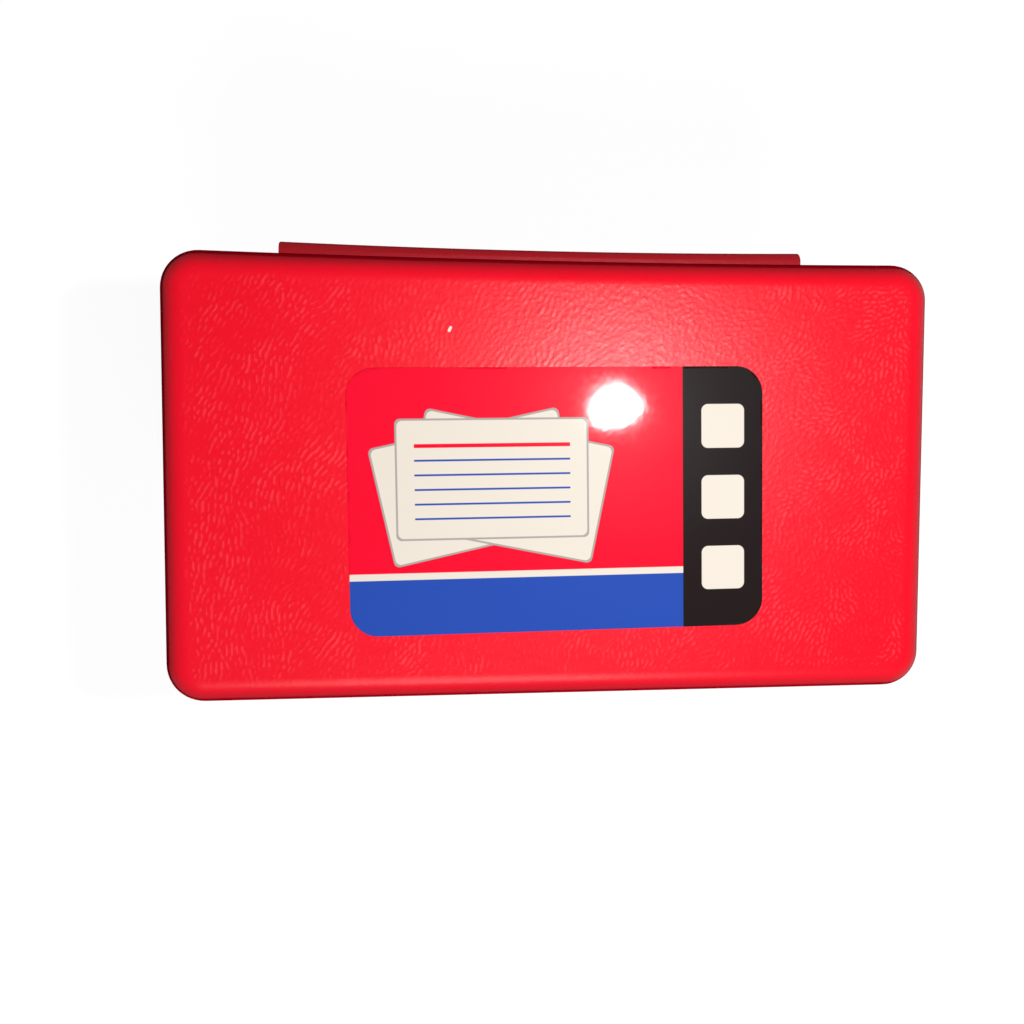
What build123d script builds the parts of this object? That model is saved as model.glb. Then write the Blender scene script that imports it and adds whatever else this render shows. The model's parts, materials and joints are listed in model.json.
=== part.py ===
from build123d import *
import os
from math import radians, tan

# A hinged box for index cards that stand on edge. Millimetres.
# X runs across the box, the front faces -Y, the hinge is at +Y and Z points up.
# The origin is the middle of the foot, on the surface that the box stands on.

# The cards, and the room that the box leaves around them
card_width = 127.0
card_height = 76.2
card_side_room = 3.35
card_head_room = 11.2
stack_depth = 73.7
cavity_corner = 3.65

# Walls of the tub and of the lid, and the lean that lets them out of the mould
base_height = 70.0
base_wall = 1.6
base_draft = 0.8
floor_thickness = 2.0
floor_round = 1.8
lid_wall = 1.6
lid_draft = 1.0
lid_top = 1.8
lid_edge_round = 4.5
lid_inner_round = 2.8
# A round edge keeps to this part of the corner that it runs into
edge_of_corner_share = 0.8

# Foot ring under the tub, and the cup where the plastic was fed in
foot_height = 0.8
foot_width = 5.0
foot_round = 2.6
foot_hollow_corner = 4.0
gate_radius = 4.0
gate_depth = 0.5
gate_nub_radius = 1.1
gate_nub_height = 0.3

# Where lid and tub meet: a lip inside the lid, a thick rim on each, a gap between the rims
lid_fit = 0.35
parting_gap = 0.2
lip_height = 4.0
lip_draft = 1.5
lip_round = 0.4
rim_proud = 0.8
rim_height = 2.5
rim_round = 0.7
rim_edge_round = 0.25

# Friction bead along the front of the lip, and the thumb notch below the lid's rim
bead_length = 46.0
bead_radius = 0.6
bead_proud = 0.2
notch_width = 30.0
notch_depth = 2.0

# Living hinge: two thin leaves that bend towards each other, and the web between them
hinge_length = 103.0
leaf_thickness = 0.8
leaf_straight = 2.2
leaf_bend = 2.0
leaf_bite = 0.6
web_clearance = 0.03
leaf_end_gap = 0.05

# Marks left inside by the pins that push the box out of the mould
pin_mark_radius = 3.0
pin_mark_depth = 0.15
pin_place_shares = (-0.68, 0.68)

# Sticker on the lid, a little towards the front and not quite straight
label_width = 75.5
label_depth = 47.7
label_corner = 5.0
label_thickness = 0.12
label_forward = 3.9
label_turn = 0.85

# One overrun serves all cuts that leave the solid
overrun = 1.0

# Sizes that follow from the ones above
cavity_width = card_width + 2 * card_side_room
floor_height = foot_height + floor_thickness
total_height = floor_height + card_height + card_head_room + lid_top
lid_bottom = base_height + parting_gap
lid_height = total_height - lid_bottom
lip_top = base_height + lip_height
# Margins around the cavity's outline at the height where the lid meets the tub
lid_inside = base_wall + lid_fit
lid_outside = lid_inside + lid_wall
rim_outside = lid_outside + rim_proud
rim_back = stack_depth / 2 + rim_outside
rim_front = -rim_back
# The lean of the tub, as a length per unit of height
base_lean = tan(radians(base_draft))
base_foot_margin = base_wall - base_height * base_lean
floor_margin = -(base_height - floor_height) * base_lean
# The hinge turns about a line along X through the middle of the web
web_radius = leaf_thickness / 2
bend_y = rim_back + leaf_straight
hinge_y = bend_y + leaf_bend - web_radius
hinge_z = base_height + parting_gap / 2


def slab(margin, corner, bottom, height, draft=0):
    """Rounded slab: the cavity's width and depth grown by margin, leaning in by draft as it rises."""
    outline = RectangleRounded(cavity_width + 2 * margin, stack_depth + 2 * margin, corner)
    return extrude(Pos(0, 0, bottom) * outline, amount=height, taper=draft)


def block(margin, bottom, height, draft=0):
    """Slab whose corners share their centres with the cavity's corners."""
    return slab(margin, cavity_corner + margin, bottom, height, draft)


def edge_round(wanted, margin):
    """The wanted radius, held below the radius of the upright corners at this margin."""
    return min(wanted, edge_of_corner_share * (cavity_corner + margin))


def lowest(solid):
    return solid.edges().group_by(Axis.Z)[0]


def highest(solid):
    return solid.edges().group_by(Axis.Z)[-1]


def rim(bottom, upper_round, lower_round):
    """Thick band around the opening, with its two outer edges rounded."""
    band = block(rim_outside, bottom, rim_height)
    band = fillet(highest(band), upper_round)
    return fillet(lowest(band), lower_round)


def leaf():
    """The lid's half of the hinge: out from the rim, then bent down as far as the web."""
    bend = Pos(bend_y, hinge_z) * (Circle(leaf_bend) - Circle(leaf_bend - leaf_thickness))
    quarter = Pos(bend_y, lid_bottom) * Rectangle(
        hinge_y - leaf_end_gap - bend_y, leaf_bend, align=(Align.MIN, Align.MIN)
    )
    straight = Pos(rim_back - leaf_bite, hinge_z + leaf_bend - leaf_thickness) * Rectangle(
        leaf_bite + leaf_straight, leaf_thickness, align=(Align.MIN, Align.MIN)
    )
    seat = Pos(hinge_y, hinge_z) * Circle(web_radius + web_clearance)
    profile = Plane.YZ * ((bend & quarter) + straight - seat)
    return extrude(profile, amount=hinge_length / 2, both=True)


def pin_marks(height, margin):
    """Shallow discs at the four corners of a floor or a lid's underside."""
    half_width = cavity_width / 2 + margin
    half_depth = stack_depth / 2 + margin
    places = [(x * half_width, y * half_depth) for x in pin_place_shares for y in pin_place_shares]
    disc = Cylinder(pin_mark_radius, 2 * pin_mark_depth)
    return [Pos(x, y, height) * disc for x, y in places]


def base_box():
    """Tub with a foot ring, a ledge for the lid, a lip inside the lid and the lower hinge leaf."""
    walls = block(base_foot_margin, 0, base_height, -base_draft)
    walls = fillet(lowest(walls), edge_round(foot_round, base_foot_margin))
    lip = block(base_wall, base_height, lip_height, lip_draft)
    lip = fillet(highest(lip), lip_round)
    ledge = rim(base_height - rim_height, rim_edge_round, rim_round)
    bead_y = -(stack_depth / 2 + base_wall) + bead_radius - bead_proud
    bead = Pos(0, bead_y, base_height + lip_height / 2) * Rot(0, 90, 0) * Cylinder(bead_radius, bead_length)
    lower_leaf = mirror(leaf(), about=Plane.XY.offset(hinge_z))
    solid = walls + lip + ledge + bead + lower_leaf

    cavity = block(floor_margin, floor_height, lip_top + overrun - floor_height, -base_draft)
    cavity = fillet(lowest(cavity), edge_round(floor_round, floor_margin))
    hollow = slab(base_foot_margin - foot_width, foot_hollow_corner, -overrun, overrun + foot_height)
    notch_radius = (notch_width**2 / 4 + notch_depth**2) / (2 * notch_depth)
    notch_y = rim_front + notch_depth - notch_radius
    notch = Pos(0, notch_y, base_height - rim_height) * Cylinder(
        notch_radius, rim_height + overrun, align=(Align.CENTER, Align.CENTER, Align.MIN)
    )
    gate = Pos(0, 0, foot_height) * Cylinder(gate_radius, 2 * gate_depth)
    solid = solid - cavity - hollow - (notch - walls - lip) - gate - pin_marks(floor_height, floor_margin)

    nub = Pos(0, 0, foot_height + gate_depth - gate_nub_height) * Cylinder(
        gate_nub_radius, gate_nub_height + floor_thickness / 2, align=(Align.CENTER, Align.CENTER, Align.MIN)
    )
    return solid + nub


def lid_cover():
    """Cap with soft edges, a thick rim and the upper hinge leaf."""
    cap = block(lid_outside, lid_bottom, lid_height, lid_draft)
    cap = fillet(highest(cap), edge_round(lid_edge_round, lid_outside))
    lid_rim = rim(lid_bottom, rim_round, rim_edge_round)
    inside_height = lid_height - lid_top
    inside = block(lid_inside, lid_bottom, inside_height, lid_draft)
    inside = fillet(highest(inside), edge_round(lid_inner_round, lid_inside))
    return cap + lid_rim + leaf() - inside - pin_marks(lid_bottom + inside_height, lid_inside)


def hinge_web():
    """The thin line of plastic that bends, drawn as a rod on the hinge line."""
    return Pos(0, hinge_y, hinge_z) * Rot(0, 90, 0) * Cylinder(web_radius, hinge_length)


def label_sticker():
    """Printed film with round corners, flat on the lid."""
    outline = Rot(0, 0, label_turn) * RectangleRounded(label_width, label_depth, label_corner)
    return extrude(Pos(0, -label_forward, total_height) * outline, amount=label_thickness)


parts = {
    "base_box": base_box(),
    "lid_cover": lid_cover(),
    "hinge_web": hinge_web(),
    "label_sticker": label_sticker(),
}
os.makedirs("parts", exist_ok=True)
for name, solid in parts.items():
    export_step(solid, os.path.join("parts", name + ".step"))
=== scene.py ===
import json
from math import ceil, cos, pi, radians, tan

import bmesh
import bpy
import numpy as np
from mathutils import Euler, Matrix, Vector
from mathutils.geometry import delaunay_2d_cdt


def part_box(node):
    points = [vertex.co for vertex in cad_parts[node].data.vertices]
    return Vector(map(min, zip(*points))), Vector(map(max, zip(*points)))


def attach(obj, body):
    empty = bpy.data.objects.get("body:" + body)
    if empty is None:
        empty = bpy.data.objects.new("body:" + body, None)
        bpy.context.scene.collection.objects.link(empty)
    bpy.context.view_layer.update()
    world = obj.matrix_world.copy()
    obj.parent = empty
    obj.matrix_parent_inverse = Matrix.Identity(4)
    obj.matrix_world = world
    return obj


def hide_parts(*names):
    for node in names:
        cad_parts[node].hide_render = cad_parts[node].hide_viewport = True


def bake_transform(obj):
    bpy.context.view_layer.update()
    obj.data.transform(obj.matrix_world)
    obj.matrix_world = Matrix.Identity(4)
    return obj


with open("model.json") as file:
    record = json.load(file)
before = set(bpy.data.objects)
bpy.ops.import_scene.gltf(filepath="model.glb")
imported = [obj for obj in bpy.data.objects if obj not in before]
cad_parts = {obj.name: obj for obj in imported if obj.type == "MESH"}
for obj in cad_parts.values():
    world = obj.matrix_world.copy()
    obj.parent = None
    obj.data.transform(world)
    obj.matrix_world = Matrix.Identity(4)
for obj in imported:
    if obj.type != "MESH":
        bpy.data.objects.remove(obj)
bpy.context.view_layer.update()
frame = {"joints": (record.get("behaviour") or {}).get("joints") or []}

# Sizes are in millimetres, and Blender takes metres.
# X runs across the box, the front faces -Y, the hinge is at +Y and Z points up.
MM = 0.001

# Rims where the lid meets the tub
rim_corner = 8.0
rim_proud = 0.8
rim_height = 2.5
rim_round = 0.7
rim_edge_round = 0.25
parting_gap = 0.2

# Lid
lid_wall = 1.6
lid_draft = 1.0
lid_top = 1.8
lid_edge_round = 4.5
lid_inner_round = 2.8
lid_fit = 0.35

# Tub, with its foot ring and the lip that goes into the lid
tub_wall = 1.6
tub_draft = 0.8
lip_draft = 1.5
lip_round = 0.4
lip_inner_round = 0.2
floor_thickness = 2.0
floor_round = 1.8
foot_height = 0.8
foot_width = 5.0
foot_round = 2.6
foot_hollow_corner = 4.0
bead_length = 46.0
bead_radius = 0.6
bead_proud = 0.2
bead_taper = 2.0
notch_width = 30.0
notch_depth = 2.0

# Marks that moulding leaves: round pin marks inside, and the cup where the plastic was fed in
pin_mark_radius = 3.0
pin_mark_depth = 0.15
pin_place_share = 0.68
gate_radius = 4.0
gate_depth = 0.5
gate_nub_radius = 1.1
gate_nub_height = 0.3

# Living hinge, which is thinner along the line that bends
leaf_thickness = 0.8
leaf_bend = 2.0
leaf_bite = 0.6
web_groove = 0.2
web_groove_angle = 40.0
# Each pair is a distance from the strip's end and how far its outer edge is drawn in there
strip_end_rounds = ((0.0, 0.3), (0.1, 0.1), (0.35, 0.0))

# The back of the box is drawn in a little along its middle, and the hinge more so
back_bow = 0.7
strip_bow = 1.2
bow_from = 20.0
bow_to = 40.0

# Printed film
film_width = 75.5
film_depth = 47.7
film_corner = 5.0
film_turn = 0.85
film_edge_round = 0.04
film_sag = 0.003
film_wave = 0.025
film_wave_size = 14.0
film_wave_spread = 2.0
film_cover = 2.0

# Leather grain in the plastic: low ridges that wind beside each other
grain_depth = 0.034
grain_fade = 2.4
grain_step = 0.2
ridge_pitch_spread = 0.35
ridge_turns = 12
ridge_fan = 3.0
ridge_low = 0.0
ridge_high = 1.5
swirl_size = 16.0
patch_size = 9.0
patch_least = 0.5
patch_spread = 1.0
top_pitch = 0.95
top_lean = 68.0
top_swirls = (0.15, 0.8)
top_straightness = (3.0, 0.8)
side_pitch = 1.7
side_lean = 80.0
side_swirls = (0.5, 0.5)
side_straightness = (1.0, 1.0)
top_seed = 11
side_seed = 12
wave_seed = 13

# How finely the meshes are divided. Counts are parts of a long side, of a short side and of a corner.
lid_counts = (416, 216, 24)
tub_counts = (232, 120, 24)
film_counts = (200, 120, 12)
top_step = 0.3
edge_step = 0.7
lid_side_step = 0.74
tub_side_step = 0.69
plain_step = 6.0
small_step = 0.12
lip_step = 0.3
film_edge_step = 0.45
strip_bends = 36
fine_to_half = 2
fine_to_coarse = 4
arc_least_parts = 3
support = 0.3
disc_points = 32
strip_parts = 80
crease_angle = 40.0
fill_tolerance = 1e-5
same_point = 1e-6

# Camera, from fitting the lid's edges in the photograph of 1024 by 1024 pixels
photo_size_px = 1024
photo_focal_px = 1100
photo_middle_px = (540, 505)
sensor_width = 36.0
camera_place = (-27.0, 7.3, 288.5)
camera_turn = (-3.53, -6.79, 0.18)
camera_clip = (10.0, 20000.0)

# Light: a lamp above, where the film mirrors it into the camera, a wide soft one in front,
# and an even light from all round
glint_place = (10.2, 12.8)
lamp_distance_share = 1.3
lamp_size = (22.0, 14.5)
lamp_power = 0.49
fill_place = (20.0, -400.0, 600.0)
fill_size = (300.0, 300.0)
fill_power = 2.0
world_light = 0.05
white = (1, 1, 1, 1)

# Floor
floor_half = 6000.0
floor_gap = 0.05
floor_colour = (0.16, 0.16, 0.16, 1)
floor_bounce = (0.5, 0.5, 0.5, 1)
floor_glow = 0.92

# Both materials
noise_range = (0.3, 0.7)
noise_detail = 2.0

# Red plastic. Colours are linear. The edge ranges say how far up a surface faces,
# from 0 on a wall to 1 on the flat top.
deep_red = (0.9, 0.0008, 0.016, 1)
bright_red = (0.93, 0.002, 0.02, 1)
# Paler pinkish red on the grain ridges: partly rubbed wear, partly a painted highlight
ridge_wear_and_highlight_red = (0.97, 0.05, 0.07, 1)
ridge_wear_and_highlight = 0.85
wear_and_highlight_from = 0.2
# Darker red for the lid's rounded edges: painted shade where the rims turn away from the light
edge_shade_red = (0.48, 0.0006, 0.01, 1)
# Darker red for the hinge strip: painted shade, as the strip lies low behind the lid's edge
shaded_strip_red = (0.5, 0.004, 0.014, 1)
tone_size = 40.0
rough_size = 1.2
plastic_roughness = (0.29, 0.34)
plastic_gloss = 0.19
wall_gloss = 0.06
# Where the painted edge shade rises from the walls and fades towards the flat top
edge_shade_low = (0.05, 0.2)
edge_shade_high = (0.6, 0.97)
edge_lean_low = (0.05, 0.12)
edge_lean_high = (0.6, 0.9)
wrinkle_size = 1.0
wrinkle_detail = 1.0
wrinkle_range = (0.45, 0.62)
wrinkle_strength = 0.25
wrinkle_depth = 0.03
nick_middle = (-19.7, 26.4)
nick_size = (0.5, 1.1)
nick_angle = -25.0

# Print on the film
crimson = (0.98, 0.0015, 0.03, 1)
crimson_deep = (0.95, 0.001, 0.026, 1)
blue = (0.02, 0.075, 0.44, 1)
black = (0.011, 0.005, 0.005, 1)
cream = (0.85, 0.77, 0.67, 1)
grey = (0.42, 0.39, 0.36, 1)
film_roughness = (0.05, 0.07)
film_gloss = 0.06
film_haze = 0.06
film_haze_roughness = 0.32
ink_edge = 0.05
print_reach = 1.0
ink_corner = 0.15
band_depth = 10.0
band_line = 1.2
column_width = 15.0
square_pitch = 13.0
square_size = 8.0
square_corner = 1.2
square_rows = (-1, 0, 1)
fan_middle = (-12.0, 4.0)
fan_angles = (12.0, -12.0, 0.0)
fan_spread = 14.0
fan_drop_share = 0.5
card_size = (34.0, 21.0)
card_corner = 1.0
card_edge = 0.7
card_margin = 3.0
head_line_drop = 4.5
head_line = 0.7
ruled_lines = 5
ruled_pitch = 2.6
ruled_line = 0.35


def box_mm(node):
    """Lowest and highest corner of a node of the frame."""
    low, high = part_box(node)
    return np.array(low) / MM, np.array(high) / MM


# Places that the frame gives
tub_high = box_mm("base_box")[1]
lid_low, lid_high = box_mm("lid_cover")
film_low, film_high = box_mm("label_sticker")
web_high = box_mm("hinge_web")[1]
hinge_x, hinge_y, hinge_z = np.array(frame["joints"][0]["pos_m"]) / MM

# Places that follow. A reach is counted outwards from the rectangle through the middles of the corners.
middle_x = lid_high[0] - rim_corner
middle_y = -lid_low[1] - rim_corner
rim_back = -lid_low[1]
lid_bottom = lid_low[2]
lid_roof = lid_high[2]
ledge_top = lid_bottom - parting_gap
lip_top = tub_high[2]
lip_height = lip_top - ledge_top
lid_wall_reach = rim_corner - rim_proud
lid_inside_reach = lid_wall_reach - lid_wall
tub_wall_reach = lid_inside_reach - lid_fit
cavity_reach = tub_wall_reach - tub_wall
floor_z = foot_height + floor_thickness
rim_round_reach = rim_corner - rim_round
rim_edge_reach = rim_corner - rim_edge_round
lid_lean = tan(radians(lid_draft))
tub_lean = tan(radians(tub_draft))
lip_lean = tan(radians(lip_draft))


def smooth(low, high, value):
    """0 up to low, 1 from high on and an even S between them."""
    share = np.clip((value - low) / (high - low), 0, 1)
    return share * share * (3 - 2 * share)


class Patch:
    """A patch of heights from 0 to 1 that starts at a corner and repeats at its edges."""

    def __init__(self, corner, width, height, seed):
        self.corner = corner
        self.size = (width, height)
        self.rng = np.random.default_rng(seed)
        columns, rows = round(width / grain_step), round(height / grain_step)
        across = np.fft.fftfreq(columns, width / columns)
        along = np.fft.fftfreq(rows, height / rows)
        self.across, self.along = np.meshgrid(across, along)
        self.frequency = np.hypot(self.across, self.along)
        self.field = np.zeros((rows, columns))

    def noise(self):
        """Plain noise, as waves."""
        return np.fft.fft2(self.rng.standard_normal(self.field.shape))

    def lumps(self, size):
        """Noise with lumps of about the given size and a spread of 1."""
        lumps = np.real(np.fft.ifft2(self.noise() * np.exp(-((self.frequency * size) ** 2))))
        return lumps / lumps.std()

    def at(self, x, y):
        """Heights at places in millimetres."""
        rows, columns = self.field.shape
        x = np.subtract(x, self.corner[0]) / self.size[0] * columns
        y = np.subtract(y, self.corner[1]) / self.size[1] * rows
        left, low = np.floor(x).astype(int), np.floor(y).astype(int)
        right_share, high_share = x - left, y - low

        def row(number):
            start = self.field[number % rows, left % columns]
            end = self.field[number % rows, (left + 1) % columns]
            return start + (end - start) * right_share

        return row(low) * (1 - high_share) + row(low + 1) * high_share


def leather(corner, width, height, pitch, lean, swirls, straightness, seed):
    """Leather grain: 1 along the ridges, 0 between them.
    The swirls and the straightness each go from a first value at the patch's left
    to a second at its right."""
    patch = Patch(corner, width, height, seed)
    columns = patch.field.shape[1]
    heading = np.arctan2(patch.along, patch.across)
    noise = patch.noise() * np.exp(-(((patch.frequency * pitch - 1) / ridge_pitch_spread) ** 2))
    way = radians(lean) + np.linspace(*swirls, columns) * patch.lumps(swirl_size)
    straight = np.linspace(*straightness, columns)
    winding, weights = np.zeros((2, *patch.field.shape))
    for turn in np.arange(ridge_turns) * pi / ridge_turns:
        fan = np.exp(ridge_fan * (np.cos(2 * (heading - turn) - pi) - 1))
        weight = np.exp(straight * (np.cos(2 * (way - turn)) - 1))
        winding += weight * np.real(np.fft.ifft2(noise * fan))
        weights += weight**2
    winding /= np.sqrt(weights)
    ridges = smooth(ridge_low, ridge_high, winding / winding.std())
    strength = smooth(-patch_spread, patch_spread, patch.lumps(patch_size))
    patch.field = ridges * (patch_least + (1 - patch_least) * strength)
    return patch


class Outline:
    """Rounded rectangle, given by the middles of its corners, whose rings all have matching points."""

    def __init__(self, half_x, half_y, counts, x=0.0, y=0.0):
        self.half = np.array((half_x, half_y))
        self.counts = counts
        self.centre = np.array((x, y))
        corners = np.array(((half_x, -half_y), (half_x, half_y), (-half_x, half_y), (-half_x, -half_y)))
        feet, ways = [], []
        for quarter, corner in enumerate(corners):
            start = corners[quarter - 1]
            steps = counts[quarter % 2]
            feet.append(start + (corner - start) * np.arange(steps)[:, None] / steps)
            feet.append(np.tile(corner, (counts[2], 1)))
            side = np.full(steps, quarter - 1.0)
            bend = quarter - 1 + np.arange(counts[2]) / counts[2]
            angle = np.concatenate((side, bend)) * pi / 2
            ways.append(np.column_stack((np.cos(angle), np.sin(angle))))
        self.feet = np.concatenate(feet)
        self.ways = np.concatenate(ways)

    def ring(self, reach, z, every=1):
        """Points at this reach and height; every 2 or 4 leaves out the ones between."""
        flat = self.centre + self.feet + self.ways * np.reshape(reach, (-1, 1))
        points = np.column_stack((flat, np.broadcast_to(z, len(flat))))
        return points[::every]

    def walk(self, reach):
        """Length along the ring from its first point to each of its points, and all round."""
        flat = self.feet + self.ways * reach
        steps = np.linalg.norm(np.roll(flat, -1, axis=0) - flat, axis=1)
        return np.concatenate(((0,), np.cumsum(steps)[:-1])), steps.sum()


class Shell:
    """Points and faces of one closed surface, and how much each point belongs to a grain ridge."""

    def __init__(self):
        self.points = np.empty((0, 3))
        self.ridges = np.empty(0)
        self.faces = []

    def add(self, points, ridges=0.0):
        """Adds points and gives their numbers."""
        numbers = np.arange(len(points)) + len(self.points)
        self.points = np.vstack((self.points, points))
        self.ridges = np.concatenate((self.ridges, np.broadcast_to(ridges, len(points))))
        return numbers

    def band(self, loop, other):
        """Joins two closed loops that start side by side.
        One may have a whole multiple of the other's points."""
        coarse, fine = sorted((loop, other), key=len)
        ratio = len(fine) // len(coarse)
        along = [np.roll(fine, -step)[::ratio] for step in range(ratio + 1)]
        faces = np.column_stack((*along, np.roll(coarse, -1), coarse))
        self.faces += [list(dict.fromkeys(face)) for face in faces.tolist()]

    def rings(self, outline, section, every=1, start=None):
        """Plain rings along a section of (reach, height) pairs, each joined to the one before."""
        for reach, z in section:
            loop = self.add(outline.ring(reach, z, every))
            if start is not None:
                self.band(start, loop)
            start = loop
        return start

    def panel(self, loop, outline, shape, hidden=None):
        """Closes a loop with a grid over the rectangle inside it.
        The shape gives z and ridge at x and y. Within a hidden rectangle, given by two corners,
        the grid is left out for a plain sheet."""
        half_x, half_y = outline.half
        parts_x, parts_y, _ = outline.counts
        columns = np.linspace(-half_x, half_x, parts_x + 1) + outline.centre[0]
        rows = np.linspace(-half_y, half_y, parts_y + 1) + outline.centre[1]
        x, y = (places.ravel() for places in np.meshgrid(columns, rows))
        z, ridge = shape(x, y)
        grid = self.add(np.column_stack((x, y, z)), ridge).reshape(parts_y + 1, parts_x + 1)
        column = np.rint((outline.feet[:, 0] / half_x + 1) / 2 * parts_x).astype(int)
        row = np.rint((outline.feet[:, 1] / half_y + 1) / 2 * parts_y).astype(int)
        self.band(loop, grid[row, column])
        cells = np.stack((grid[:-1, :-1], grid[:-1, 1:], grid[1:, 1:], grid[1:, :-1]), axis=-1)
        seen = np.ones(cells.shape[:2], dtype=bool)
        if hidden is not None:
            left, right = np.searchsorted(columns, (hidden[0][0], hidden[1][0]))
            low, high = np.searchsorted(rows, (hidden[0][1], hidden[1][1]))
            seen[low:high, left:right] = False
            sides = (grid[low, left:right], grid[low:high, right])
            sides += (grid[high, right:left:-1], grid[high:low:-1, left])
            self.plate(np.concatenate(sides))
        self.faces += cells[seen].tolist()

    def plate(self, loop, discs=(), radius=0.0):
        """Fills a flat loop but for round holes at the discs' middles.
        Gives the loops around the holes."""
        z = self.points[loop[0], 2]
        angle = np.arange(disc_points) * 2 * pi / disc_points
        circle = radius * np.column_stack((np.cos(angle), np.sin(angle)))
        holes = [self.add(np.column_stack((circle + disc, np.full(disc_points, z)))) for disc in discs]
        numbers = np.concatenate((loop, *holes))
        edges, first = [], 0
        for ring in (loop, *holes):
            count = len(ring)
            edges += [(first + step, first + (step + 1) % count) for step in range(count)]
            first += count
        flat = [Vector(point) for point in self.points[numbers, :2].tolist()]
        inside_constraints = 1
        faces = delaunay_2d_cdt(flat, edges, [], inside_constraints, fill_tolerance)[2]
        for face in faces:
            middle = np.mean([flat[corner] for corner in face], axis=0)
            if all(np.hypot(*(middle - disc)) > radius for disc in discs):
                self.faces.append(numbers[list(face)].tolist())
        return holes

    def sink(self, loop, depth):
        """Joins a loop to a copy of it at another height, and gives the copy."""
        copy = self.add(self.points[loop] + (0, 0, depth))
        self.band(loop, copy)
        return copy

    def close(self, loop):
        """One flat face over a loop."""
        self.faces.append(loop.tolist())

    def build(self, name, material):
        """Makes the piece, with its faces turned outwards and its sharp edges kept."""
        mesh = bpy.data.meshes.new(name)
        mesh.from_pydata((self.points * MM).tolist(), [], self.faces)
        ridge = mesh.attributes.new("ridge", "FLOAT", "POINT")
        ridge.data.foreach_set("value", self.ridges.astype(np.float32))
        work = bmesh.new()
        work.from_mesh(mesh)
        loose = [point for point in work.verts if not point.link_faces]
        bmesh.ops.delete(work, geom=loose, context="VERTS")
        bmesh.ops.recalc_face_normals(work, faces=work.faces)
        work.to_mesh(mesh)
        work.free()
        mesh.shade_smooth()
        mesh.set_sharp_from_angle(angle=radians(crease_angle))
        mesh.materials.append(material)
        piece = bpy.data.objects.new(name, mesh)
        bpy.context.scene.collection.objects.link(piece)
        return piece


def run(first, last, step):
    """Evenly spaced points of a section on a straight line, both ends included."""
    count = max(1, ceil(np.hypot(*np.subtract(last, first)) / step))
    return np.linspace(first, last, count + 1)


def turn(middle, radius, start, end, step):
    """Points of a section on an arc. The angle is 0 outwards and 90 degrees up."""
    count = max(arc_least_parts, ceil(radius * abs(radians(end - start)) / step))
    angle = np.radians(np.linspace(start, end, count + 1))
    return np.column_stack((middle[0] + radius * np.cos(angle), middle[1] + radius * np.sin(angle)))


def section(*stretches):
    """Stretches of a section in one, without points that repeat."""
    points = np.concatenate(stretches)
    kept = np.linalg.norm(np.diff(points, axis=0), axis=1) > same_point
    return points[np.concatenate(((True,), kept))]


def corner_middle(wall_reach, radius, draft):
    """Reach of the middle of a round edge beside a leaning wall."""
    return wall_reach - radius / cos(radians(draft))


def bowed(points, depth):
    """Points drawn in towards the front along the middle of the back."""
    across = 1 - (points[:, 0] / lid_high[0]) ** 2
    shift = depth * across * smooth(bow_from, bow_to, points[:, 1])
    return points - np.column_stack((np.zeros(len(points)), shift, np.zeros(len(points))))


def pin_places(reach):
    """Middles of the four pin marks on a floor or a ceiling with this reach."""
    half_x, half_y = pin_place_share * (middle_x + reach), pin_place_share * (middle_y + reach)
    return np.array([(x, y) for x in (-half_x, half_x) for y in (-half_y, half_y)])


top_patch = (lid_low[:2], 2 * lid_high[0], 2 * rim_back)
top_grain = leather(*top_patch, top_pitch, top_lean, top_swirls, top_straightness, top_seed)
lid_outline = Outline(middle_x, middle_y, lid_counts)
tub_outline = Outline(middle_x, middle_y, tub_counts)
side_walk = lid_outline.walk(lid_wall_reach)[1]
side_patch = ((0, 0), side_walk, lid_roof)
side_grain = leather(*side_patch, side_pitch, side_lean, side_swirls, side_straightness, side_seed)


def grained_rings(shell, outline, points, shares, every=1):
    """Rings down a section, pressed in beside the ridges.
    Shares say how much top and side grain each ring has. Gives the first and the last loop."""
    tangent = np.gradient(points, axis=0)
    tangent /= np.linalg.norm(tangent, axis=1)[:, None]
    walk, length = outline.walk(lid_wall_reach)
    loops = []
    for (reach, z), (out, up), (top, side) in zip(points, tangent, shares):
        x, y, _ = outline.ring(reach, z).T
        on_top = top_grain.at(x, y)
        on_side = side_grain.at(walk * side_walk / length, z)
        ridge = top * on_top + side * on_side
        depth = grain_depth * (1 - ridge)
        ring = outline.ring(reach + up * depth, z - out * depth)
        loops.append(shell.add(ring[::every], ridge[::every]))
    for loop, below in zip(loops, loops[1:]):
        shell.band(loop, below)
    return loops[0], loops[-1]


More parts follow.
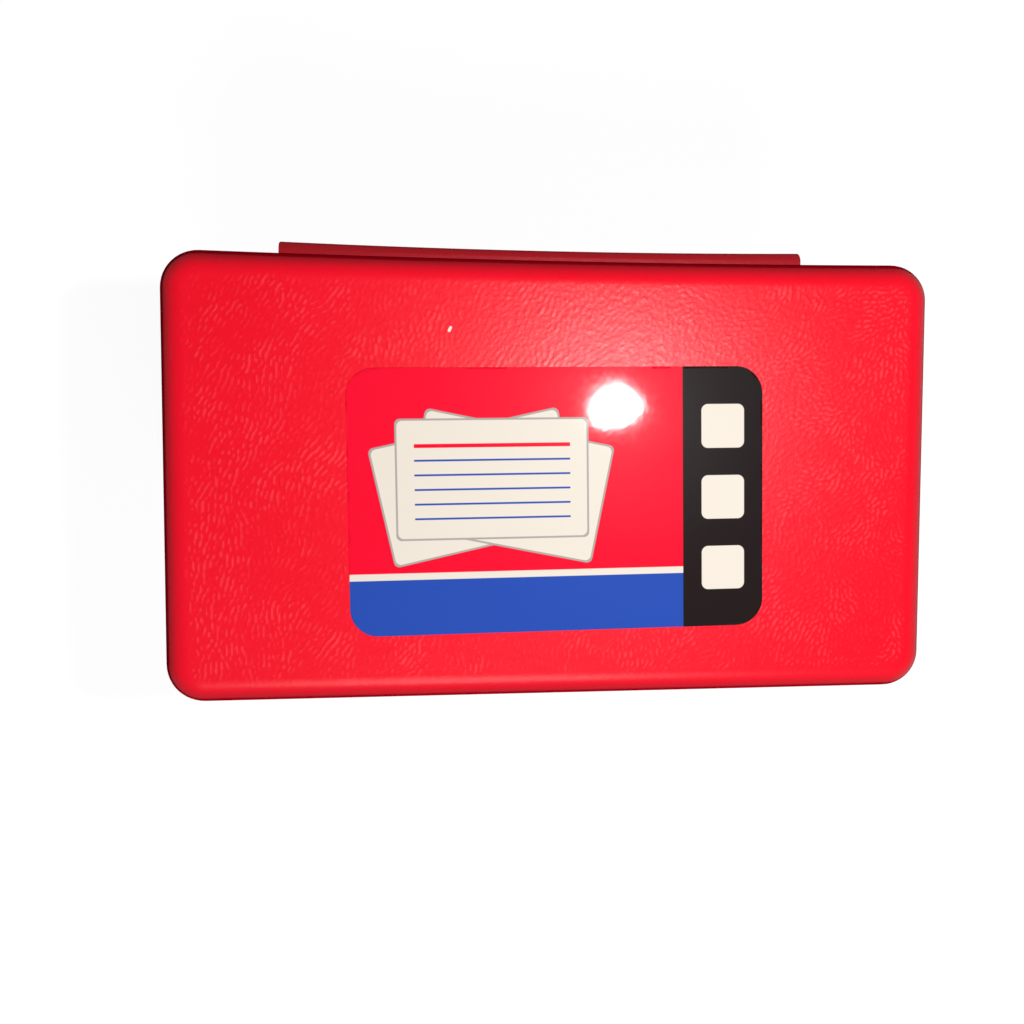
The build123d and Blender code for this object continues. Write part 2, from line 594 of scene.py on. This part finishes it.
def lid_shell(material):
    """The lid: grained top with soft edges, walls, the rim below, and the plain inside."""
    shell = Shell()

    def wall(z):
        return lid_wall_reach - (z - lid_bottom) * lid_lean

    def inside(z):
        return lid_inside_reach - (z - lid_bottom) * lid_lean

    rim_top = lid_bottom + rim_height
    edge_z = lid_roof - lid_edge_round
    flat_reach = corner_middle(wall(edge_z), lid_edge_round, lid_draft)
    edge = turn((flat_reach, edge_z), lid_edge_round, 90, lid_draft, edge_step)
    outside = section(
        run((top_step, lid_roof), edge[0], top_step),
        edge,
        run(edge[-1], (wall(rim_top), rim_top), lid_side_step),
    )
    reach, z = outside.T
    top_share = smooth(flat_reach + grain_fade / 2, flat_reach - grain_fade / 2, reach)
    side_share = smooth(edge_z, edge_z - grain_fade, z) * smooth(rim_top, rim_top + grain_fade, z)
    shares = np.column_stack((top_share, side_share))
    flat = z > lid_roof - small_step
    around_top, around_flat = grained_rings(shell, lid_outline, outside[flat], shares[flat])
    around_edge, around_wall = grained_rings(
        shell, lid_outline, outside[~flat], shares[~flat], fine_to_half
    )
    shell.band(around_flat, around_edge)

    def top_shape(x, y):
        ridge = top_grain.at(x, y)
        return lid_roof - grain_depth * (1 - ridge), ridge

    shell.panel(around_top, lid_outline, top_shape, (film_low + film_cover, film_high - film_cover))

    ceiling = lid_roof - lid_top
    inner_z = ceiling - lid_inner_round
    ceiling_reach = corner_middle(inside(inner_z), lid_inner_round, lid_draft)
    underneath = section(
        turn((rim_round_reach, rim_top - rim_round), rim_round, 90, 0, small_step),
        turn((rim_edge_reach, lid_bottom + rim_edge_round), rim_edge_round, 0, -90, small_step),
        run((lid_inside_reach, lid_bottom), (inside(inner_z), inner_z), plain_step),
        turn((ceiling_reach, inner_z), lid_inner_round, lid_draft, 90, edge_step),
        ((ceiling_reach - support, ceiling),),
    )
    around_ceiling = shell.rings(lid_outline, underneath, fine_to_coarse, around_wall)
    for mark in shell.plate(around_ceiling, pin_places(lid_inside_reach), pin_mark_radius):
        shell.close(shell.sink(mark, pin_mark_depth))
    shell.points = bowed(shell.points, back_bow)
    return shell.build("lid_shell", material)


def notched(points):
    """Points of the tub with the thumb notch pressed into the front of its ledge."""
    radius = (notch_width**2 / 4 + notch_depth**2) / (2 * notch_depth)
    x, y, z = points.T
    in_notch = (np.abs(x) < notch_width / 2) & (z > ledge_top - rim_height - support) & (z <= ledge_top)
    edge = -rim_back + notch_depth - radius + np.sqrt(radius**2 - np.where(in_notch, x, 0) ** 2)
    return np.column_stack((x, np.where(in_notch, np.maximum(y, edge), y), z))


def beaded(points):
    """Points of the tub with the friction bead raised on the front of its lip."""
    x, y, z = points.T
    on_lip = (y < -middle_y - cavity_reach - tub_wall / 2) & (z > ledge_top)
    height = np.clip(1 - ((z - (ledge_top + lip_top) / 2) / bead_radius) ** 2, 0, 1)
    taper = smooth(bead_length / 2, bead_length / 2 - bead_taper, np.abs(x))
    return np.column_stack((x, y - np.where(on_lip, bead_proud * height * taper, 0), z))


def tub_shell(material):
    """The tub: foot ring, grained walls, ledge with a thumb notch, lip with its bead,
    and the plain inside."""
    shell = Shell()

    def wall(z):
        return tub_wall_reach + (z - ledge_top) * tub_lean

    def inside(z):
        return cavity_reach + (z - ledge_top) * tub_lean

    ledge_bottom = ledge_top - rim_height
    foot_reach = corner_middle(wall(foot_round), foot_round, tub_draft)
    foot = turn((foot_reach, foot_round), foot_round, -90, -tub_draft, edge_step)
    outside = section(run((wall(ledge_bottom), ledge_bottom), foot[-1], tub_side_step), foot[::-1])
    z = outside[:, 1]
    side_share = smooth(foot[-1][1], foot[-1][1] + grain_fade, z)
    side_share *= smooth(ledge_bottom, ledge_bottom - grain_fade, z)
    shares = np.column_stack((np.zeros(len(z)), side_share))
    around_wall, around_foot = grained_rings(shell, tub_outline, outside, shares)

    hollow_inset = foot_width + foot_hollow_corner - wall(0)
    hollow = Outline(middle_x - hollow_inset, middle_y - hollow_inset, tub_counts)
    underneath = (
        (foot_hollow_corner, 0),
        (foot_hollow_corner, foot_height),
        (foot_hollow_corner - support, foot_height),
    )
    around_hollow = shell.rings(hollow, underneath, fine_to_coarse, around_foot)
    gate = shell.plate(around_hollow, np.zeros((1, 2)), gate_radius)[0]
    cup = shell.sink(gate, gate_depth)
    nub_share = gate_nub_radius / gate_radius
    nub = shell.add(shell.points[cup] * (nub_share, nub_share, 1))
    shell.band(cup, nub)
    shell.close(shell.sink(nub, -gate_nub_height))

    lip_end = tub_wall_reach - lip_height * lip_lean
    floor_edge_z = floor_z + floor_round
    floor_reach = corner_middle(inside(floor_edge_z), floor_round, tub_draft)
    ledge = section(
        turn((rim_round_reach, ledge_bottom + rim_round), rim_round, -90, 0, small_step),
        turn((rim_edge_reach, ledge_top - rim_edge_round), rim_edge_round, 0, 90, small_step),
    )
    lip_inner = (inside(lip_top) + lip_inner_round, lip_top - lip_inner_round)
    cavity_top = (inside(lip_top), lip_top - lip_height / 2)
    cavity_bottom = (inside(floor_edge_z), floor_edge_z)
    within = section(
        run((tub_wall_reach, ledge_top), (lip_end, lip_top - lip_round), lip_step),
        turn((lip_end - lip_round, lip_top - lip_round), lip_round, lip_draft, 90, small_step),
        turn(lip_inner, lip_inner_round, 90, 180, small_step),
        run(cavity_top, cavity_bottom, plain_step),
        turn((floor_reach, floor_edge_z), floor_round, -tub_draft, -90, edge_step),
        ((floor_reach - support, floor_z),),
    )
    around_ledge = shell.rings(tub_outline, ledge, fine_to_half, around_wall)
    around_floor = shell.rings(tub_outline, within, fine_to_coarse, around_ledge)
    for mark in shell.plate(around_floor, pin_places(inside(floor_z)), pin_mark_radius):
        shell.close(shell.sink(mark, -pin_mark_depth))
    shell.points = bowed(beaded(notched(shell.points)), back_bow)
    return shell.build("tub_shell", material)


def hinge_strip(material):
    """The living hinge: a leaf out of each rim, bent towards each other and thinner where they meet."""
    bend_y = web_high[1] - leaf_bend
    angle = np.linspace(90, -90, strip_bends + 1)
    groove = web_groove * smooth(web_groove_angle, 0, np.abs(angle))
    way = np.column_stack((np.cos(np.radians(angle)), np.sin(np.radians(angle))))

    def path(radius, groove):
        bend = np.array((bend_y, hinge_z)) + way * (radius + groove)[:, None]
        roots = [(rim_back - leaf_bite, hinge_z + side * radius) for side in (1, -1)]
        return np.vstack((roots[0], bend, roots[1]))

    outer = path(leaf_bend, -groove)
    inner = path(leaf_bend - leaf_thickness, groove)
    y, z = np.vstack((outer, inner[::-1])).T
    tip = smooth(rim_back, web_high[1], y)
    ends = [(web_high[0] - inset, drawn_in) for inset, drawn_in in strip_end_rounds]
    last_x = ends[-1][0]
    stations = [(-x, drawn_in) for x, drawn_in in ends]
    stations += [(x, 0) for x in np.linspace(-last_x, last_x, strip_parts + 1)[1:-1]]
    stations += ends[::-1]

    shell = Shell()
    loops = []
    for x, drawn_in in stations:
        loops.append(shell.add(np.column_stack((np.full(len(y), x), y - drawn_in * tip, z))))
    for left, right in zip(loops, loops[1:]):
        shell.band(left, right)
    count = len(outer)
    for end in (loops[0], loops[-1]):
        for step in range(count - 1):
            shell.faces.append(end[[step, step + 1, -step - 2, -step - 1]].tolist())
    tip = smooth(rim_back, web_high[1], shell.points[:, 1])
    across = 1 - (shell.points[:, 0] / lid_high[0]) ** 2
    shell.points[:, 1] -= across * (back_bow + (strip_bow - back_bow) * tip)
    return shell.build("hinge_strip", material)


def label_film(material):
    """The printed film: a thin sheet with round corners that lies on the grain
    and follows it a little."""
    shell = Shell()
    centre = (film_high + film_low) / 2
    half_x, half_y = film_width / 2 - film_corner, film_depth / 2 - film_corner
    outline = Outline(half_x, half_y, film_counts, centre[0], centre[1])
    top = film_high[2]
    waves = Patch(film_low[:2], 2 * film_width, 2 * film_depth, wave_seed)
    waves.field = smooth(-film_wave_spread, film_wave_spread, waves.lumps(film_wave_size))

    def top_shape(x, y):
        drop = film_wave * (1 - waves.at(x, y)) + film_sag * (1 - top_grain.at(x, y))
        return top - drop, np.zeros(len(x))

    start = None
    for reach in np.arange(film_edge_step, film_corner, film_edge_step):
        x, y, _ = outline.ring(reach, top).T
        z, _ = top_shape(x, y)
        loop = shell.add(np.column_stack((x, y, z)))
        if start is None:
            shell.panel(loop, outline, top_shape)
        else:
            shell.band(start, loop)
        start = loop
    border = (
        (film_corner - film_edge_round, top - film_wave),
        (film_corner, top - film_wave - film_edge_round),
        (film_corner, film_low[2]),
    )
    around = shell.rings(outline, border, 1, start)
    shell.plate(around)
    across = shell.points[:, :2] - centre[:2]
    askew = Matrix.Rotation(radians(film_turn), 2)
    shell.points[:, :2] = centre[:2] + across @ np.array(askew).T
    return shell.build("label_film", material)


class Finish:
    """A material, and short ways to add nodes to it and link them."""

    def __init__(self, name):
        self.material = bpy.data.materials.new(name)
        self.material.use_nodes = True
        self.tree = self.material.node_tree
        self.shader = self.tree.nodes["Principled BSDF"]
        places = self.add("ShaderNodeTexCoord")
        self.place = places.outputs["Object"]
        self.normal = places.outputs["Normal"]

    def add(self, kind, inputs=None, **settings):
        """Adds a node. An input is a value for its socket, or another node's output to link to it."""
        node = self.tree.nodes.new(kind)
        for name, value in settings.items():
            setattr(node, name, value)
        for name, value in (inputs or {}).items():
            self.put(node.inputs[name], value)
        return node

    def put(self, socket, value):
        """Sets a socket, or links another node's output to it."""
        if isinstance(value, bpy.types.NodeSocket):
            self.tree.links.new(value, socket)
        else:
            socket.default_value = value

    def noise(self, size, detail=noise_detail):
        """Noise with lumps of about the given size."""
        inputs = {"Vector": self.place, "Scale": 1 / (size * MM), "Detail": detail}
        return self.add("ShaderNodeTexNoise", inputs).outputs["Fac"]

    def between(self, value, low, high, to_low, to_high):
        """The value's range from low to high, carried over to another range."""
        inputs = {"Value": value, "From Min": low, "From Max": high, "To Min": to_low, "To Max": to_high}
        return self.add("ShaderNodeMapRange", inputs).outputs["Result"]

    def mix(self, share, first, second):
        """The first colour, giving way to the second as the share goes from 0 to 1."""
        node = self.add("ShaderNodeMix", data_type="RGBA")
        colour_inputs = [socket for socket in node.inputs if socket.type == "RGBA"]
        self.put(node.inputs["Factor"], share)
        self.put(colour_inputs[0], first)
        self.put(colour_inputs[1], second)
        return next(socket for socket in node.outputs if socket.type == "RGBA")

    def math(self, operation, first, second):
        """An operation on two numbers."""
        return self.add("ShaderNodeMath", {0: first, 1: second}, operation=operation).outputs["Value"]

    def vector(self, operation, first, second=None):
        """An operation on one or two vectors."""
        node = self.add("ShaderNodeVectorMath", operation=operation)
        self.put(node.inputs[0], first)
        if second is not None:
            self.put(node.inputs[1], second)
        return node

    def millimetres(self, middle, angle=0.0):
        """Places in millimetres from a point, turned about the upright."""
        inputs = {"Vector": self.place, "Location": np.multiply(middle, MM), "Scale": (MM,) * 3}
        inputs["Rotation"] = (0, 0, radians(angle))
        return self.add("ShaderNodeMapping", inputs, vector_type="TEXTURE").outputs["Vector"]

    def box(self, place, centre, size, corner, angle=0.0):
        """1 inside a rectangle with round corners near the plane where z is 0, and 0 outside it."""
        inputs = {"Vector": place, "Location": (*centre, 0), "Rotation": (0, 0, radians(angle))}
        local = self.add("ShaderNodeMapping", inputs, vector_type="TEXTURE").outputs["Vector"]
        local = self.vector("ABSOLUTE", local).outputs["Vector"]
        inner = (size[0] / 2 - corner, size[1] / 2 - corner, print_reach)
        local = self.vector("SUBTRACT", local, inner).outputs["Vector"]
        local = self.vector("MAXIMUM", local, (0, 0, 0)).outputs["Vector"]
        away = self.vector("LENGTH", local).outputs["Value"]
        return self.between(away, corner - ink_edge, corner + ink_edge, 1, 0)


def red_plastic(name, deep, bright, edge):
    """Moulded polypropylene: a strong red, satin, and paler on the ridges of its grain, partly as rubbed
    wear and partly as a painted highlight.
    Where it turns from a flat top to a wall it takes the edge colour, and a darker red given there is
    painted shade."""
    finish = Finish(name)
    ridge = finish.add("ShaderNodeAttribute", attribute_name="ridge").outputs["Fac"]
    colour = finish.mix(finish.between(finish.noise(tone_size), *noise_range, 0, 1), deep, bright)
    # Paler ridges: partly rubbed wear, partly a painted highlight
    wear_and_highlight_share = finish.between(ridge, wear_and_highlight_from, 1, 0, ridge_wear_and_highlight)
    colour = finish.mix(wear_and_highlight_share, colour, ridge_wear_and_highlight_red)
    up = finish.add("ShaderNodeSeparateXYZ", {"Vector": finish.normal}).outputs["Z"]
    # Painted shade: the edge colour on the rounded band between the flat top and the walls
    edge_shade_from_wall = finish.between(up, *edge_shade_low, 0, 1)
    edge_shade_from_top = finish.between(up, *edge_shade_high, 1, 0)
    on_shaded_edge = finish.math("MINIMUM", edge_shade_from_wall, edge_shade_from_top)
    colour = finish.mix(on_shaded_edge, colour, edge)
    nick_place = finish.millimetres((*nick_middle, lid_roof))
    nick = finish.box(nick_place, (0, 0), nick_size, nick_size[0] / 2, nick_angle)
    colour = finish.mix(nick, colour, cream)
    finish.put(finish.shader.inputs["Base Color"], colour)
    rough = finish.between(finish.noise(rough_size), *noise_range, *plastic_roughness)
    finish.put(finish.shader.inputs["Roughness"], rough)
    dull_low = finish.between(up, *edge_lean_low, wall_gloss, 0)
    dull_high = finish.between(up, *edge_lean_high, 0, plastic_gloss)
    gloss = finish.math("MAXIMUM", dull_low, dull_high)
    finish.put(finish.shader.inputs["Specular IOR Level"], gloss)
    bump_inputs = {
        "Height": finish.between(finish.noise(wrinkle_size, wrinkle_detail), *wrinkle_range, 0, 1),
        "Strength": wrinkle_strength,
        "Distance": wrinkle_depth * MM,
    }
    bump = finish.add("ShaderNodeBump", bump_inputs)
    finish.put(finish.shader.inputs["Normal"], bump.outputs["Normal"])
    return finish.material


def printed_film():
    """Glossy film with a plain print: fanned blank cards on crimson, a blue band and a black side."""
    finish = Finish("printed_film")
    centre = (film_high + film_low) / 2
    place = finish.millimetres((*centre[:2], film_high[2]), film_turn)
    width, depth = film_width, film_depth
    colour = finish.mix(finish.noise(tone_size), crimson, crimson_deep)

    def print_box(colour, centre, size, corner, ink, angle=0.0):
        return finish.mix(finish.box(place, centre, size, corner, angle), colour, ink)

    band_middle = -depth / 2 + band_depth / 2
    colour = print_box(colour, (0, band_middle + band_line), (width, band_depth), ink_corner, cream)
    colour = print_box(colour, (0, band_middle), (width, band_depth), ink_corner, blue)
    column_middle = width / 2 - column_width / 2
    colour = print_box(colour, (column_middle, 0), (column_width, depth), ink_corner, black)
    for row in square_rows:
        square_middle = (column_middle, row * square_pitch)
        colour = print_box(colour, square_middle, (square_size,) * 2, square_corner, cream)
    for angle in fan_angles:
        lean = radians(angle)
        middle = np.array(fan_middle) + fan_spread * np.array((-lean, -abs(lean) * fan_drop_share))
        colour = print_box(colour, middle, np.array(card_size) + card_edge, card_corner, grey, angle)
        colour = print_box(colour, middle, card_size, card_corner, cream, angle)
    head_y = fan_middle[1] + card_size[1] / 2 - head_line_drop
    line_width = card_size[0] - 2 * card_margin
    colour = print_box(colour, (fan_middle[0], head_y), (line_width, head_line), ink_corner, crimson)
    for line in range(1, ruled_lines + 1):
        line_y = head_y - line * ruled_pitch
        colour = print_box(colour, (fan_middle[0], line_y), (line_width, ruled_line), ink_corner, blue)
    finish.put(finish.shader.inputs["Base Color"], colour)
    rough = finish.between(finish.noise(rough_size), *noise_range, *film_roughness)
    finish.put(finish.shader.inputs["Roughness"], rough)
    finish.put(finish.shader.inputs["Specular IOR Level"], film_gloss)
    finish.put(finish.shader.inputs["Coat Weight"], film_haze)
    finish.put(finish.shader.inputs["Coat Roughness"], film_haze_roughness)
    return finish.material


def seen_white(tree, seen, lit):
    """A shader that is one thing to the camera, in gloss and through glass,
    and another as a source of light."""
    path = tree.nodes.new("ShaderNodeLightPath")
    share = path.outputs["Is Camera Ray"]
    for ray in ("Is Glossy Ray", "Is Transmission Ray"):
        either = tree.nodes.new("ShaderNodeMath")
        either.operation = "MAXIMUM"
        tree.links.new(share, either.inputs[0])
        tree.links.new(path.outputs[ray], either.inputs[1])
        share = either.outputs["Value"]
    mix = tree.nodes.new("ShaderNodeMixShader")
    tree.links.new(share, mix.inputs["Fac"])
    tree.links.new(lit, mix.inputs[1])
    tree.links.new(seen, mix.inputs[2])
    return mix.outputs["Shader"]


def floor_stage():
    """Plain pale floor that keeps the box's shadow."""
    mesh = bpy.data.meshes.new("floor")
    half = floor_half * MM
    corners = [(-half, -half, 0), (half, -half, 0), (half, half, 0), (-half, half, 0)]
    mesh.from_pydata(corners, [], [(0, 1, 2, 3)])
    finish = Finish("pale_floor")
    tree = finish.tree
    shaded = finish.add("ShaderNodeBsdfDiffuse", {"Color": floor_colour}).outputs["BSDF"]
    glow = finish.add("ShaderNodeEmission", {"Strength": floor_glow}).outputs["Emission"]
    seen = finish.add("ShaderNodeAddShader", {0: shaded, 1: glow}).outputs["Shader"]
    lit = finish.add("ShaderNodeBsdfDiffuse", {"Color": floor_bounce}).outputs["BSDF"]
    shader = seen_white(tree, seen, lit)
    tree.links.new(shader, tree.nodes["Material Output"].inputs["Surface"])
    tree.nodes.remove(finish.shader)
    mesh.materials.append(finish.material)
    floor = bpy.data.objects.new("floor", mesh)
    floor.location.z = -floor_gap * MM
    bpy.context.scene.collection.objects.link(floor)


def add_world():
    """Even light from all round, and white where the camera sees past the floor."""
    world = bpy.data.worlds.new("studio")
    world.use_nodes = True
    tree = world.node_tree
    lit = tree.nodes["Background"]
    lit.inputs["Color"].default_value = white
    lit.inputs["Strength"].default_value = world_light
    seen = tree.nodes.new("ShaderNodeBackground")
    seen.inputs["Color"].default_value = white
    shader = seen_white(tree, seen.outputs["Background"], lit.outputs["Background"])
    tree.links.new(shader, tree.nodes["World Output"].inputs["Surface"])
    bpy.context.scene.world = world


def add_lamp(name, place, aim, size, power):
    """Lamp with an oval face that looks at a place."""
    light = bpy.data.lights.new(name, "AREA")
    light.shape = "ELLIPSE"
    light.size = size[0] * MM
    light.size_y = size[1] * MM
    light.energy = power
    lamp = bpy.data.objects.new(name, light)
    lamp.location = Vector(place) * MM
    lamp.rotation_euler = Vector(np.subtract(aim, place)).to_track_quat("-Z", "X").to_euler()
    bpy.context.scene.collection.objects.link(lamp)


def add_lamps():
    """The lamp that the film mirrors into the camera at the glint, and the wide one in front."""
    glint = np.array((*glint_place, film_high[2]))
    mirrored = (glint - camera_place) * (1, 1, -1)
    add_lamp("key", glint + mirrored * lamp_distance_share, glint, lamp_size, lamp_power)
    add_lamp("fill", fill_place, glint, fill_size, fill_power)


def add_camera():
    """Camera where the photograph was taken from."""
    data = bpy.data.cameras.new("camera")
    data.sensor_width = sensor_width
    data.lens = sensor_width * photo_focal_px / photo_size_px
    data.shift_x = 0.5 - photo_middle_px[0] / photo_size_px
    data.shift_y = photo_middle_px[1] / photo_size_px - 0.5
    data.clip_start = camera_clip[0] * MM
    data.clip_end = camera_clip[1] * MM
    camera = bpy.data.objects.new("camera", data)
    camera.location = Vector(camera_place) * MM
    camera.rotation_euler = Euler([radians(angle) for angle in camera_turn], "XYZ")
    bpy.context.scene.collection.objects.link(camera)
    bpy.context.scene.camera = camera


bpy.context.scene.view_settings.view_transform = "Standard"

# The lid's rounded edges take a darker red that is painted shade
lid = lid_shell(red_plastic("lid_plastic", deep_red, bright_red, edge_shade_red))
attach(lid, "lid")
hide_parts("lid_cover")

tub = tub_shell(red_plastic("tub_plastic", deep_red, bright_red, bright_red))
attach(tub, "base")
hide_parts("base_box")

# The hinge strip takes a darker red that is painted shade
strip = hinge_strip(red_plastic("shaded_strip_plastic", shaded_strip_red, shaded_strip_red, shaded_strip_red))
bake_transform(strip)
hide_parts("hinge_web")

film = label_film(printed_film())
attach(film, "lid")
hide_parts("label_sticker")

floor_stage()
add_world()
add_lamps()
add_camera()
